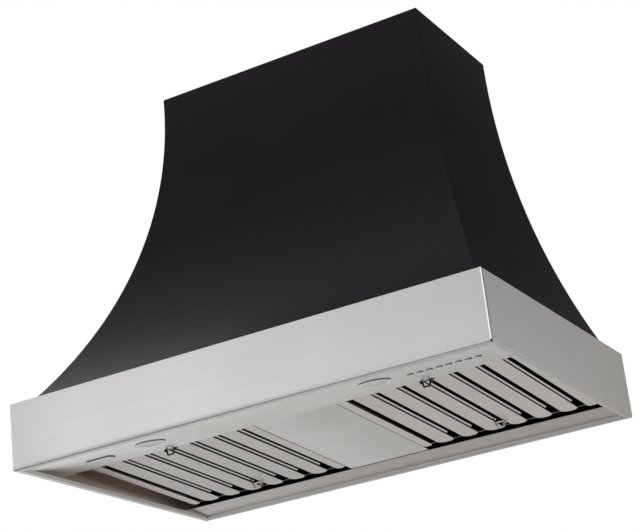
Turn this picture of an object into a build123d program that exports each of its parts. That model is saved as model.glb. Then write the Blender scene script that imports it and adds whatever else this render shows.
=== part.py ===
"""Wall mount range hood, 36 in wide.

A black shell with swept front and sides stands on a stainless band. Under the
band hang a sloping control strip, two baffle filters, a spacer panel and a
grease trough. A double-inlet blower inside feeds a round duct collar.

Frame: millimetres, +X to the right as seen from the front, +Y to the wall,
+Z up. The origin is the centre of the footprint at the band's bottom rim.
"""

from math import atan2, cos, degrees, pi, radians, sin, sqrt, tan
import os

from build123d import *

os.makedirs("parts", exist_ok=True)

# ---------------------------------------------------------------- dimensions
WIDTH = 914.4            # overall width, 36 in
DEPTH = 612.0            # overall depth, wall to front
BAND_H = 120.0           # height of the stainless band
SHELL_TOP = 772.0        # height of the shell's top edge
TOP_W, TOP_D = 563.0, 300.0      # plan size of the shell's top
FRONT_R = 888.0          # radius of the front sweep, vertical at the top
SIDE_R = 1440.0          # radius of the side sweeps, vertical at the top
SHEET = 1.2              # sheet thickness of shell and band
BEND_R = 3.2             # outside radius of the bends under the band
CORNER_R = 2.4           # outside radius of its upright corners
LIP_R = 5.0              # outside radius of the rim's upturned side edges
REAR_LIP_R, REAR_LIP_H = 3.0, 5.0    # the rear rim's low upturned lip
RIM_W = 16.0             # width of the rim under the band
INNER_WALL_H = 42.0      # height of the rim's inner walls
RETURN = 3.4             # the front band's return round its corners
LEDGE_FRONT, LEDGE_SIDE = 55.0, 42.0

YF, YB = -DEPTH / 2, DEPTH / 2
XH = WIDTH / 2
RIM_IN_X = XH - RIM_W            # 441.2
RIM_IN_Y = DEPTH / 2 - RIM_W     # 290

STRIP_REAR_Y, STRIP_REAR_Z = -135.0, 23.2
TROUGH_FRONT_Y, TROUGH_FRONT_Z = 230.0, 10.2
TROUGH_LIP_Z = 19.2

# filters, in their own tilted plane: u right, v to the rear, w up
FILTER_W, FILTER_L, FILTER_H = 343.0, 340.5, 24.0
SPACER_L = 359.0
FILTER_Y0, FILTER_Z0 = -133.5, 27.4
FILTER_TILT = 2.72               # degrees, rear end lower
FILTER_X = {"left": -419.0, "right": 89.4}
RAIL_L, RAIL_R, PITCH = 17.6, 19.0, 48.5
SLOT_0W, SLOT_W = 13.5, 17.3     # the slot beside the left rail is narrower
SLATS = 6
SLAT_T, LIP_H = 0.8, 3.5
FLARE_U, FLARE_H = 2.1, 2.1      # the lips' flared edges
FLARE_V0, FLARE_V1 = 12.8, 303.0
UPPER_LAP, UPPER_LOW, UPPER_TOP = 8.0, 4.5, 14.0
END_R = 13.0                     # rounding of the rear ends

LAMP_X, LAMP_V, LAMP_R = 217.6, 59.5, 26.6
LAMP_IN, LENS_R = 24.0, 21.4     # bezel tube and lens
BUTTONS, BUTTON_PITCH, BUTTON_X0, BUTTON_V = 8, 17.2, 274.8, 74.5
BUTTON_R, BUTTON_PROUD, BUTTON_TRAVEL = 5.5, 2.0, 1.5
PLATE_X, PLATE_V, PLATE_W, PLATE_D, PLATE_T = -338.5, 81.5, 49.0, 22.0, 2.0

# blower: wheel axis along X
FAN_Y, FAN_Z = 91.0, 520.0
WHEEL_R, WHEEL_IN, WHEEL_HALF = 95.0, 80.0, 92.0
SCROLL_R0, SCROLL_R1, SCROLL_HALF = 103.0, 135.0, 105.0
OUTLET_Z = 700.0
COLLAR_Y = FAN_Y + 71.5
COLLAR_R, COLLAR_LOW_R, COLLAR_TOP = 99.5, 98.9, 797.0
SHAFT_R = 4.0
DAMPER_Z = 772.0

# wall screws, a rectangle on the back panel
SCREW_X, SCREW_Z, SCREW_R = (-220.0, 220.0), (200.0, 700.0), 4.0


def front_y(z):
    """Outer face of the front sweep at height z."""
    return YB - (TOP_D + FRONT_R - sqrt(FRONT_R**2 - (SHELL_TOP - z) ** 2))


def side_x(z):
    """Outer face of the right side sweep at height z."""
    return TOP_W / 2 + SIDE_R - sqrt(SIDE_R**2 - (SHELL_TOP - z) ** 2)


def arc_y(z, off):
    """Front sweep moved inwards along its normal by off."""
    r = FRONT_R + off
    return YB - TOP_D - FRONT_R + sqrt(r**2 - (SHELL_TOP - z) ** 2)


def arc_x(z, off):
    """Side sweep moved inwards along its normal by off."""
    r = SIDE_R + off
    return TOP_W / 2 + SIDE_R - sqrt(r**2 - (SHELL_TOP - z) ** 2)


def block(x0, x1, y0, y1, z0, z1, mode=Mode.ADD):
    """A box between two corners, in the plane of the part being built."""
    with Locations((x0, y0, z0)):
        Box(x1 - x0, y1 - y0, z1 - z0, align=(Align.MIN, Align.MIN, Align.MIN), mode=mode)


def drill(x, y, z, r, depth, mode=Mode.SUBTRACT):
    """A round hole along the part's own Z, centred on the point."""
    with Locations((x, y, z)):
        Cylinder(r, depth, mode=mode)


def bend(plane, at, r, quarter):
    """The quarter-round section of a bend in the sheet, drawn on plane.

    at is the bend's centre, and quarter the signs of the two axes on its side."""
    qx, qy = quarter
    with BuildSketch(plane) as section:
        with Locations(at):
            Circle(r)
            Circle(r - SHEET, mode=Mode.SUBTRACT)
            Rectangle(
                2 * r, 2 * r, mode=Mode.INTERSECT,
                align=(Align.MAX if qx < 0 else Align.MIN, Align.MAX if qy < 0 else Align.MIN),
            )
    return section.sketch


def save(part, name):
    part.label = name
    export_step(part, f"parts/{name}.step")


MID_Z = (BAND_H + SHELL_TOP) / 2


def front_line(off, z0=BAND_H, z1=SHELL_TOP):
    """Three points of the front sweep, (y, z), for an arc."""
    zm = (z0 + z1) / 2
    return (arc_y(z0, off), z0), (arc_y(zm, off), zm), (arc_y(z1, off), z1)


def side_line(off, z0=BAND_H, z1=SHELL_TOP):
    zm = (z0 + z1) / 2
    return (arc_x(z0, off), z0), (arc_x(zm, off), zm), (arc_x(z1, off), z1)


# ------------------------------------------------------------ the black shell
# screws from the band's ledge up into the shell's foot flanges
FOOT_SCREWS = [(x, -264.0) for x in (-360, -120, 120, 360)] + [
    (s * 424.0, y) for s in (-1, 1) for y in (-180, 50, 270)
]

with BuildPart() as shell_front:
    with BuildSketch(Plane.YZ) as front_skin:
        with BuildLine():
            a, b, c = front_line(0)
            d, e, f = front_line(SHEET)
            ThreePointArc(a, b, c)
            Line(c, f)
            ThreePointArc(f, e, d)
            Line(d, a)
        make_face()
    extrude(amount=XH, both=True)
    with BuildSketch(Plane.XZ) as side_limits:
        with BuildLine():
            a, b, c = side_line(0)
            ThreePointArc(a, b, c)
            Line(c, (-c[0], c[1]))
            ThreePointArc((-c[0], c[1]), (-b[0], b[1]), (-a[0], a[1]))
            Line((-a[0], a[1]), a)
        make_face()
    extrude(amount=DEPTH, both=True, mode=Mode.INTERSECT)
    block(-405, 405, -277.5, -252, BAND_H, BAND_H + SHEET)
    for x, y in FOOT_SCREWS[:4]:
        drill(x, y, BAND_H, 2.1, 10)
save(shell_front.part, "shell_front")

for side, s in (("left", -1), ("right", 1)):
    with BuildPart() as shell_side:
        with BuildSketch(Plane.XZ) as side_skin:
            with BuildLine():
                a, b, c = side_line(0)
                d, e, f = side_line(SHEET)
                ThreePointArc((s * a[0], a[1]), (s * b[0], b[1]), (s * c[0], c[1]))
                Line((s * c[0], c[1]), (s * f[0], f[1]))
                ThreePointArc((s * f[0], f[1]), (s * e[0], e[1]), (s * d[0], d[1]))
                Line((s * d[0], d[1]), (s * a[0], a[1]))
            make_face()
        extrude(amount=DEPTH, both=True)
        with BuildSketch(Plane.YZ) as front_limit:
            with BuildLine():
                a, b, c = front_line(SHEET)
                ThreePointArc(a, b, c)
                Line(c, (YB - SHEET, SHELL_TOP))
                Line((YB - SHEET, SHELL_TOP), (YB - SHEET, BAND_H))
                Line((YB - SHEET, BAND_H), a)
            make_face()
        extrude(amount=XH, both=True, mode=Mode.INTERSECT)
        if s > 0:
            block(412, 436.4, -240, 300, BAND_H, BAND_H + SHEET)
        else:
            block(-436.4, -412, -240, 300, BAND_H, BAND_H + SHEET)
        for x, y in FOOT_SCREWS[4:]:
            if x * s > 0:
                drill(x, y, BAND_H, 2.1, 10)
    save(shell_side.part, f"shell_side_{side}")

with BuildPart() as back_panel:
    with BuildSketch(Plane.XZ.offset(-YB)) as back_outline:
        with BuildLine():
            a, b, c = side_line(0)
            ThreePointArc(a, b, c)
            Line(c, (-c[0], c[1]))
            ThreePointArc((-c[0], c[1]), (-b[0], b[1]), (-a[0], a[1]))
            Line((-a[0], a[1]), a)
        make_face()
        with Locations(*[(x, z) for x in SCREW_X for z in SCREW_Z]):
            Circle(SCREW_R, mode=Mode.SUBTRACT)
    extrude(amount=SHEET)
save(back_panel.part, "back_panel")

TOP_SCREWS = [(s * 112.0, COLLAR_Y + t * 50.0) for s in (-1, 1) for t in (-1, 1)]
GLAND_X, GLAND_Y = -135.0, 275.0

with BuildPart() as top_plate:
    with BuildSketch(Plane.XY.offset(SHELL_TOP - SHEET)) as top_outline:
        x = arc_x(SHELL_TOP - SHEET, SHEET) - 0.05
        y0 = arc_y(SHELL_TOP - SHEET, SHEET) + 0.05
        with Locations((0, (y0 + YB - SHEET) / 2)):
            Rectangle(2 * x, YB - SHEET - y0)
        with Locations((0, COLLAR_Y)):
            Circle(COLLAR_R + 0.3, mode=Mode.SUBTRACT)
        with Locations((GLAND_X, GLAND_Y)):
            Circle(11.2, mode=Mode.SUBTRACT)
        with Locations(*TOP_SCREWS):
            Circle(2.6, mode=Mode.SUBTRACT)
    extrude(amount=SHEET)
save(top_plate.part, "top_plate")

with BuildPart() as duct_collar:
    with BuildSketch(Plane.XY.offset(752)) as collar_tube:
        with Locations((0, COLLAR_Y)):
            Circle(COLLAR_LOW_R)
            Circle(COLLAR_LOW_R - 1.0, mode=Mode.SUBTRACT)
    extrude(amount=SHELL_TOP + 1.0 - 752)
    with BuildSketch(Plane.XY.offset(SHELL_TOP + 1.0)) as collar_spigot:
        with Locations((0, COLLAR_Y)):
            Circle(COLLAR_R)
            Circle(COLLAR_R - 1.0, mode=Mode.SUBTRACT)
    extrude(amount=COLLAR_TOP - SHELL_TOP - 1.0)
    with BuildSketch(Plane.XY.offset(SHELL_TOP)) as collar_flange:
        with Locations((0, COLLAR_Y)):
            Circle(COLLAR_R + 27.0)
            Circle(COLLAR_LOW_R - 0.5, mode=Mode.SUBTRACT)
        with Locations(*TOP_SCREWS):
            Circle(2.6, mode=Mode.SUBTRACT)
    extrude(amount=1.0)
    # stops that the closed flaps rest on
    for ang in (35, 90, 145, 215, 270, 325):
        with Locations(Location((0, COLLAR_Y, DAMPER_Z - 1.45), (0, 0, ang))):
            with Locations((COLLAR_LOW_R - 3.9, 0, 0)):
                Box(7.0, 8.0, 1.5)
    # the rod's two bearing holes
    with Locations(Location((0, COLLAR_Y, DAMPER_Z), (0, 90, 0))):
        Cylinder(2.0, 2 * COLLAR_R + 4, mode=Mode.SUBTRACT)
save(duct_collar.part, "duct_collar")

with BuildPart() as damper_rod:
    with BuildSketch(Plane.YZ) as rod_section:
        with Locations((COLLAR_Y, DAMPER_Z)):
            Circle(2.0)
    extrude(amount=COLLAR_LOW_R, both=True)
save(damper_rod.part, "damper_rod")

# each flap is a half disc with two rolled knuckles that turn on the rod
KNUCKLES = {"front": ((-80, -42), (2, 40)), "rear": ((-40, -2), (42, 80))}
for side, s in (("front", -1), ("rear", 1)):
    with BuildPart() as flap:
        with BuildSketch(Plane.XY.offset(DAMPER_Z - 0.4)) as half_disc:
            with Locations((0, COLLAR_Y)):
                Circle(COLLAR_LOW_R - 2.2)
                with Locations((0, -s * 100 + s * 4.6)):
                    Rectangle(220, 200, mode=Mode.SUBTRACT)
            for x0, x1 in KNUCKLES[side]:
                with Locations(((x0 + x1) / 2, COLLAR_Y + s * 3.8)):
                    Rectangle(x1 - x0, 3.0)
        extrude(amount=0.8)
        for x0, x1 in KNUCKLES[side]:
            with BuildSketch(Plane.YZ.offset(x0)) as knuckle:
                with Locations((COLLAR_Y, DAMPER_Z)):
                    Circle(3.4)
            extrude(amount=x1 - x0)
        with Locations(Location((0, COLLAR_Y, DAMPER_Z), (0, 90, 0))):
            Cylinder(2.08, 200, mode=Mode.SUBTRACT)
    save(flap.part, f"damper_flap_{side}")

# ------------------------------------------------------- the stainless band
with BuildPart() as band_front:
    # the front and its returns, one sheet folded round the upright corners
    with BuildSketch(Plane.XY.offset(BEND_R)) as front_plan:
        with Locations((0, YF)):
            Rectangle(2 * XH, 12, align=(Align.CENTER, Align.MIN))
        fillet(front_plan.vertices().group_by(Axis.Y)[0], CORNER_R)
        with Locations((0, YF + SHEET)):
            Rectangle(2 * (XH - SHEET), 12, align=(Align.CENTER, Align.MIN), mode=Mode.SUBTRACT)
        with Locations((0, YF + RETURN)):
            Rectangle(2 * XH + 2, 12, align=(Align.CENTER, Align.MIN), mode=Mode.SUBTRACT)
    extrude(amount=BAND_H - BEND_R)
    # the bend under it stops short of the corners, which leaves a small relief
    extrude(bend(Plane.YZ, (YF + BEND_R, BEND_R), BEND_R, (-1, -1)), amount=XH - CORNER_R, both=True)
    with BuildSketch() as front_rim:
        Polygon(
            (-XH + BEND_R, YF + BEND_R), (XH - BEND_R, YF + BEND_R),
            (RIM_IN_X, YF + RIM_W), (-RIM_IN_X, YF + RIM_W), align=None,
        )
    extrude(amount=SHEET)
    block(-XH + SHEET, XH - SHEET, YF + SHEET / 2, YF + LEDGE_FRONT, BAND_H - SHEET, BAND_H)
    for x, y in FOOT_SCREWS[:4]:
        drill(x, y, BAND_H, 2.1, 10)
save(band_front.part, "band_front")

for side, s in (("left", -1), ("right", 1)):
    with BuildPart() as band_side:
        y_web = YF + RETURN + 0.6
        block(*sorted((s * (XH - SHEET), s * XH)), y_web, YB, BEND_R, BAND_H)
        section = bend(Plane.XZ.offset(-(YB - SHEET)), (s * (XH - BEND_R), BEND_R), BEND_R, (s, -1))
        extrude(section, amount=YB - SHEET - y_web)
        with BuildSketch() as side_rim:
            Polygon(
                (s * (XH - BEND_R), YF + BEND_R), (s * (XH - BEND_R), YB - BEND_R),
                (s * (RIM_IN_X + LIP_R), RIM_IN_Y + LIP_R),
                (s * (RIM_IN_X + LIP_R), -RIM_IN_Y - LIP_R), align=None,
            )
        extrude(amount=SHEET)
        # upturned edge, mitred at both ends, and inner wall
        y_end = RIM_IN_Y - 0.2
        section = bend(Plane.XZ, (s * (RIM_IN_X + LIP_R), LIP_R), LIP_R, (-s, -1))
        extrude(section, amount=RIM_IN_Y + LIP_R, both=True)
        m, e = RIM_IN_X - RIM_IN_Y, RIM_IN_Y + 13
        with BuildSketch(Plane.XY.offset(-1)) as mitres:
            Polygon((s * (m + e - 13.5), -e + 13.5), (s * (m + e - 13.5), -e), (s * (m + e), -e), align=None)
            y_rear = RIM_IN_Y + REAR_LIP_R
            Polygon(
                (s * (RIM_IN_X - 0.1), y_rear), (s * (m + y_rear), y_rear),
                (s * (m + e), e), (s * (RIM_IN_X - 0.1), e), align=None,
            )
        extrude(amount=LIP_R + 2, mode=Mode.SUBTRACT)
        block(*sorted((s * RIM_IN_X, s * (RIM_IN_X + SHEET))), -y_end, y_end, LIP_R, INNER_WALL_H)
        block(
            *sorted((s * (XH - LEDGE_SIDE), s * (XH - SHEET / 2))),
            YF + LEDGE_FRONT + 0.3, YB - SHEET, BAND_H - SHEET, BAND_H,
        )
        for x, y in FOOT_SCREWS[4:]:
            if x * s > 0:
                drill(x, y, BAND_H, 2.1, 10)
    save(band_side.part, f"band_side_{side}")

with BuildPart() as band_rear:
    block(-XH + SHEET, XH - SHEET, YB - SHEET, YB, 0, BAND_H)
    with BuildSketch() as rear_rim:
        Polygon(
            (-XH + BEND_R, YB - SHEET / 2), (XH - BEND_R, YB - SHEET / 2),
            (XH - BEND_R, YB - BEND_R), (RIM_IN_X + REAR_LIP_R, RIM_IN_Y + REAR_LIP_R),
            (-RIM_IN_X - REAR_LIP_R, RIM_IN_Y + REAR_LIP_R), (-XH + BEND_R, YB - BEND_R), align=None,
        )
    extrude(amount=SHEET)
    # low upturned lip that carries the grease trough's rear edge
    x_end = RIM_IN_X - 0.2
    section = bend(Plane.YZ, (RIM_IN_Y + REAR_LIP_R, REAR_LIP_R), REAR_LIP_R, (-1, -1))
    extrude(section, amount=x_end, both=True)
    block(-x_end, x_end, RIM_IN_Y, RIM_IN_Y + SHEET, REAR_LIP_R, REAR_LIP_H)
save(band_rear.part, "band_rear")

with BuildPart() as band_screws:
    for x, y in FOOT_SCREWS:
        drill(x, y, BAND_H - 0.4, 2.0, 5.6, mode=Mode.ADD)
        drill(x, y, BAND_H - SHEET - 1.25, 4.0, 2.5, mode=Mode.ADD)
        drill(x, y, BAND_H + SHEET + 1.4, 3.6, 2.8, mode=Mode.ADD)
save(band_screws.part, "band_screws")

# ----------------------------------------------- control strip and its pieces
STRIP_TILT = degrees(atan2(STRIP_REAR_Z - SHEET, STRIP_REAR_Y + RIM_IN_Y))
b_ = radians(STRIP_TILT)
STRIP = Plane(origin=(0, -RIM_IN_Y, SHEET), x_dir=(1, 0, 0), z_dir=(0, -sin(b_), cos(b_)))
BUTTON_AT = [(BUTTON_X0 + i * BUTTON_PITCH, BUTTON_V) for i in range(BUTTONS)]
BUTTON_MID = BUTTON_X0 + (BUTTONS - 1) * BUTTON_PITCH / 2
STRIP_XH = RIM_IN_X - 0.3

with BuildPart() as control_strip:
    with BuildSketch(Plane.YZ) as strip_profile:
        Polygon(
            (-RIM_IN_Y - 12, SHEET), (-RIM_IN_Y, SHEET), (STRIP_REAR_Y, STRIP_REAR_Z),
            (STRIP_REAR_Y, 48), (STRIP_REAR_Y - SHEET, 48),
            (STRIP_REAR_Y - SHEET, STRIP_REAR_Z + 1.08), (-RIM_IN_Y - 0.1, 2 * SHEET),
            (-RIM_IN_Y - 12, 2 * SHEET), align=None,
        )
    extrude(amount=STRIP_XH, both=True)
    with BuildSketch(STRIP.offset(-4)) as strip_holes:
        with Locations((-LAMP_X, LAMP_V), (LAMP_X, LAMP_V)):
            Circle(LAMP_IN + 0.3)
        with Locations(*BUTTON_AT):
            Circle(BUTTON_R + 0.3)
    extrude(amount=10, mode=Mode.SUBTRACT)
save(control_strip.part, "control_strip")

with BuildPart() as blank_plate:
    with BuildSketch(STRIP.offset(-PLATE_T)) as plate_outline:
        with Locations((PLATE_X, PLATE_V)):
            RectangleRounded(PLATE_W, PLATE_D, 2.0)
    extrude(amount=PLATE_T)
save(blank_plate.part, "blank_plate")

for side, s in (("left", -1), ("right", 1)):
    x = s * LAMP_X
    with BuildPart(STRIP) as bezel:
        with Locations((x, LAMP_V, -0.9)):
            Cylinder(LAMP_R, 1.8)
        fillet(bezel.edges().sort_by(Axis.Z)[0], 0.5)
        with Locations((x, LAMP_V, 4.0)):
            Cylinder(LAMP_IN, 8.0)
        with Locations((x, LAMP_V, 3.0)):
            Cylinder(LENS_R, 14.0, mode=Mode.SUBTRACT)
    save(bezel.part, f"lamp_{side}_bezel")
    with BuildPart(STRIP) as lens:
        with Locations((x, LAMP_V, -0.2)):
            Cylinder(LENS_R, 2.4)
    save(lens.part, f"lamp_{side}_lens")
    with BuildPart(STRIP) as housing:
        with Locations((x, LAMP_V, 14.0)):
            Cylinder(LAMP_IN, 12.0)
        with Locations((x, LAMP_V, 11.0)):
            Cylinder(LENS_R, 6.0, mode=Mode.SUBTRACT)
        for i in range(6):
            block(x - 17.0, x + 17.0, LAMP_V - 15.9 + i * 6, LAMP_V - 14.1 + i * 6, 20.0, 26.0)
    save(housing.part, f"lamp_{side}_housing")

for i, (x, v) in enumerate(BUTTON_AT, start=1):
    with BuildPart(STRIP) as button:
        with Locations((x, v, (1.5 - BUTTON_PROUD) / 2)):
            Cylinder(BUTTON_R, 1.5 + BUTTON_PROUD)
        fillet(button.edges().sort_by(Axis.Z)[0], 0.4)
        with Locations((x, v, 2.1)):
            Cylinder(7.0, 1.2)
    save(button.part, f"button_{i}")

BX0, BX1 = BUTTON_X0 - 16, BUTTON_X0 + (BUTTONS - 1) * BUTTON_PITCH + 16
with BuildPart(STRIP) as button_housing:
    block(BX0, BX1, BUTTON_V - 16, BUTTON_V + 16, SHEET + 0.02, 18)
    block(BX0 + 1.6, BX1 - 1.6, BUTTON_V - 14.4, BUTTON_V + 14.4, 0, 16.4, mode=Mode.SUBTRACT)
    for x in (BX0 + 1.6, BX1 - 5.6):
        block(x, x + 4, BUTTON_V - 14.4, BUTTON_V + 14.4, 11.0, 16.4)
save(button_housing.part, "button_housing")

with BuildPart(STRIP) as switch_board:
    block(BX0 + 2, BX1 - 2, BUTTON_V - 13.5, BUTTON_V + 13.5, 9.4, 11.0)
    for x, v in BUTTON_AT:
        block(x - 3, x + 3, v - 3, v + 3, 5.8, 9.4)
        drill(x, v, 5.2, 1.6, 1.4, mode=Mode.ADD)
save(switch_board.part, "switch_board")

# --------------------------------------------------- trough, spacer and filler
with BuildPart() as grease_trough:
    with BuildSketch(Plane.YZ) as trough_profile:
        t = TROUGH_FRONT_Z
        Polygon(
            (RIM_IN_Y + 12, REAR_LIP_H), (RIM_IN_Y, REAR_LIP_H), (TROUGH_FRONT_Y, t),
            (TROUGH_FRONT_Y, TROUGH_LIP_Z), (TROUGH_FRONT_Y + SHEET, TROUGH_LIP_Z),
            (TROUGH_FRONT_Y + SHEET, t + 1.1), (RIM_IN_Y + 0.1, REAR_LIP_H + SHEET),
            (RIM_IN_Y + 12, REAR_LIP_H + SHEET), align=None,
        )
    extrude(amount=STRIP_XH, both=True)
save(grease_trough.part, "grease_trough")

a_ = radians(FILTER_TILT)


def filter_plane(x0):
    return Plane(origin=(x0, FILTER_Y0, FILTER_Z0), x_dir=(1, 0, 0), z_dir=(0, sin(a_), cos(a_)))


SPACER_X0 = FILTER_X["left"] + FILTER_W + 1.5
SPACER_W = FILTER_X["right"] - 1.5 - SPACER_X0
with BuildPart(filter_plane(SPACER_X0)) as spacer_panel:
    block(0, SPACER_W, -1.45, SPACER_L, 0, 1.0)
    for u0, u1 in ((0, 1.0), (SPACER_W - 1.0, SPACER_W)):
        block(u0, u1, 0, SPACER_L, 0, 22)
    block(0, SPACER_W, SPACER_L - 30, SPACER_L + 9, 9.3, 10.3)
save(spacer_panel.part, "spacer_panel")

FILLER_X1 = FILTER_X["left"] - 2.5
FILLER_Y0, FILLER_Y1 = STRIP_REAR_Y + 0.4, TROUGH_FRONT_Y - 0.6
with BuildPart() as side_filler:
    block(-RIM_IN_X, FILLER_X1, FILLER_Y0, FILLER_Y1, 38, 39.2)
    block(FILLER_X1 - SHEET, FILLER_X1, FILLER_Y0, FILLER_Y1, 27, 38)
    block(-RIM_IN_X, -RIM_IN_X + SHEET, FILLER_Y0, FILLER_Y1, 38, INNER_WALL_H + 6)
    block(-RIM_IN_X, FILLER_X1, FILLER_Y1 - SHEET, FILLER_Y1, 14, 38)
save(side_filler.part, "side_filler")

# ------------------------------------------------------------ baffle filters
# slot i runs from SLOT_U[i] to SLOT_U[i] + SLOT_WS[i]; slat i lies between
# slots i and i + 1
SLOT_WS = [SLOT_0W] + [SLOT_W] * SLATS
SLOT_U = [RAIL_L] + [
    RAIL_L + SLOT_0W / 2 + i * PITCH - SLOT_W / 2 for i in range(1, SLATS + 1)
]
SLAT_U = [(SLOT_U[i] + SLOT_WS[i], SLOT_U[i + 1]) for i in range(SLATS)]
HANDLE_U = SLOT_U[SLATS // 2] + SLOT_W / 2
HANDLE_V = {"front": 10.5, "rear": 303.0}
PIVOT_W, WIRE_R, BAIL_HALF, BAIL_DROP = -2.9, 1.5, 6.5, 12.7
WEB = FILTER_L - 8               # rear face of the frame's rear web
LUG_IN, LUG_OUT, PIN_END = 9.0, 10.5, 10.9

for side in ("left", "right"):
    fp = filter_plane(FILTER_X[side])

    with BuildPart(fp) as frame:
        # lower flanges of the side rails, rounded at the rear like the slats
        with BuildSketch(fp) as rails:
            with Locations((RAIL_L / 2, FILTER_L / 2), (FILTER_W - RAIL_R / 2, FILTER_L / 2)):
                Rectangle(RAIL_L, FILTER_L)
            fillet(rails.vertices().group_by(Axis.Y)[-1], 7.0)
        extrude(amount=SLAT_T)
        block(FILTER_W - RAIL_R, FILTER_W - RAIL_R + 2, 0, FILTER_L - 9, 0, SLAT_T)
        block(0, FILTER_W, 0, 3.5, 0, SLAT_T)
        block(RAIL_L - SLAT_T, RAIL_L, 0, FILTER_L - 9, 0, LIP_H)
        block(FILTER_W - RAIL_R, FILTER_W - RAIL_R + SLAT_T, 0, FILTER_L - 9, 0, LIP_H)
        for u0, u1, f0, f1 in ((0, 1, 0, 9), (FILTER_W - 1, FILTER_W, FILTER_W - 9, FILTER_W)):
            block(u0, u1, 0, WEB, 0, FILTER_H)
            block(f0, f1, 0, WEB, FILTER_H - 1, FILTER_H)
        # front rail, a channel that opens towards the slats, and the rear rail,
        # which stands on the slats' ends and leaves the slots' ends open
        block(0, FILTER_W, 0, 1, 0, FILTER_H)
        block(0, FILTER_W, 0, 12, SLAT_T, SLAT_T + 1)
        block(0, FILTER_W, 0, 12, FILTER_H - 1, FILTER_H)
        block(0, FILTER_W, WEB - 1, WEB, SLAT_T, FILTER_H)
        block(0, FILTER_W, WEB - 12, WEB, FILTER_H - 1, FILTER_H)
        # notches that let the slats' lips pass under the rails
        for s0, s1 in SLAT_U:
            for u in (s0, s1 - SLAT_T):
                block(u - 0.1, u + SLAT_T + 0.1, 3.4, 12.5, 0.7, LIP_H, mode=Mode.SUBTRACT)
    save(frame.part, f"filter_{side}_frame")

    with BuildPart(fp) as lower:
        with BuildSketch(fp) as slat_plan:
            for s0, s1 in SLAT_U:
                with Locations(((s0 + s1) / 2, (3.5 + FILTER_L) / 2)):
                    Rectangle(s1 - s0, FILTER_L - 3.5)
            fillet(slat_plan.vertices().group_by(Axis.Y)[-1], END_R)
        extrude(amount=SLAT_T)
        for s0, s1 in SLAT_U:
            for w0 in (s0, s1 - SLAT_T):
                block(w0, w0 + SLAT_T, 3.5, FILTER_L - END_R, 0, LIP_H)
        # the lips' edges flare outwards over the slots
        across = Plane(
            origin=fp.from_local_coords(Vector(0, FLARE_V0, 0)), x_dir=fp.x_dir, z_dir=-fp.y_dir
        )
        with BuildSketch(across) as flares:
            for s0, s1 in SLAT_U:
                for u, s in ((s0, -1), (s1, 1)):
                    Polygon(
                        (u, LIP_H - 0.4), (u, LIP_H), (u + s * FLARE_U, LIP_H + FLARE_H),
                        (u + s * (FLARE_U - 0.57), LIP_H + FLARE_H + 0.57),
                        (u - s * SLAT_T, LIP_H + 0.33), (u - s * SLAT_T, LIP_H - 0.4), align=None,
                    )
        extrude(amount=-(FLARE_V1 - FLARE_V0))
    save(lower.part, f"filter_{side}_lower_slats")

    with BuildPart(fp) as upper:
        for u, w in zip(SLOT_U, SLOT_WS):
            u0, u1 = u - UPPER_LAP, u + w + UPPER_LAP
            block(u0, u1, 1, WEB - 1, UPPER_TOP - SLAT_T, UPPER_TOP)
            block(u0, u0 + SLAT_T, 1, WEB - 1, UPPER_LOW, UPPER_TOP)
            block(u1 - SLAT_T, u1, 1, WEB - 1, UPPER_LOW, UPPER_TOP)
    save(upper.part, f"filter_{side}_upper_slats")

    # clip: a bar across the slot with two lugs that hold the wire handle
    with BuildPart(fp) as clips:
        for v in HANDLE_V.values():
            block(HANDLE_U - 14, HANDLE_U + 14, v - 3.5, v + 3.5, -1.0, 0)
            for s in (-1, 1):
                x0, x1 = sorted((HANDLE_U + s * LUG_IN, HANDLE_U + s * LUG_OUT))
                block(x0, x1, v - 3.0, v + 3.0, PIVOT_W - 2.4, -1.0)
            with Locations(Location((HANDLE_U, v, PIVOT_W), (0, 90, 0))):
                Cylinder(WIRE_R + 0.06, 24, mode=Mode.SUBTRACT)
    save(clips.part, f"filter_{side}_handle_clips")

    for end, v in HANDLE_V.items():
        low = PIVOT_W - (BAIL_DROP + PIVOT_W - WIRE_R)
        origin = fp.from_local_coords(Vector(HANDLE_U, v, 0))
        bail_plane = Plane(origin=origin, x_dir=(1, 0, 0), z_dir=-fp.y_dir)
        with BuildPart() as bail:
            with BuildLine(bail_plane) as wire:
                FilletPolyline(
                    (-PIN_END, PIVOT_W), (-BAIL_HALF, PIVOT_W), (-BAIL_HALF, low),
                    (BAIL_HALF, low), (BAIL_HALF, PIVOT_W), (PIN_END, PIVOT_W),
                    radius=2.2,
                )
            start = bail_plane.from_local_coords(Vector(-PIN_END, PIVOT_W, 0))
            with BuildSketch(Plane(origin=start, z_dir=(1, 0, 0))) as section:
                Circle(WIRE_R)
            sweep(path=wire.wires()[0])
        save(bail.part, f"filter_{side}_{end}_bail")

# -------------------------------------------------------------------- blower


def spiral(extra, n=7):
    """Points of the scroll's spiral, every 45 degrees from the cut-off."""
    pts = []
    for i in range(n):
        th = 90 + 270 * i / (n - 1)
        r = SCROLL_R0 + (SCROLL_R1 - SCROLL_R0) * (th - 90) / 270 + extra
        pts.append((FAN_Y + r * cos(radians(th)), FAN_Z + r * sin(radians(th))))
    return pts


def spiral_arcs(pts):
    """Three arcs that run through the spiral's seven points."""
    for i in (0, 2, 4):
        ThreePointArc(pts[i], pts[i + 1], pts[i + 2])


INNER, OUTER = spiral(0), spiral(1.0)
WALL_Y = FAN_Y + 8.0
REAR_Y = FAN_Y + SCROLL_R1

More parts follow.
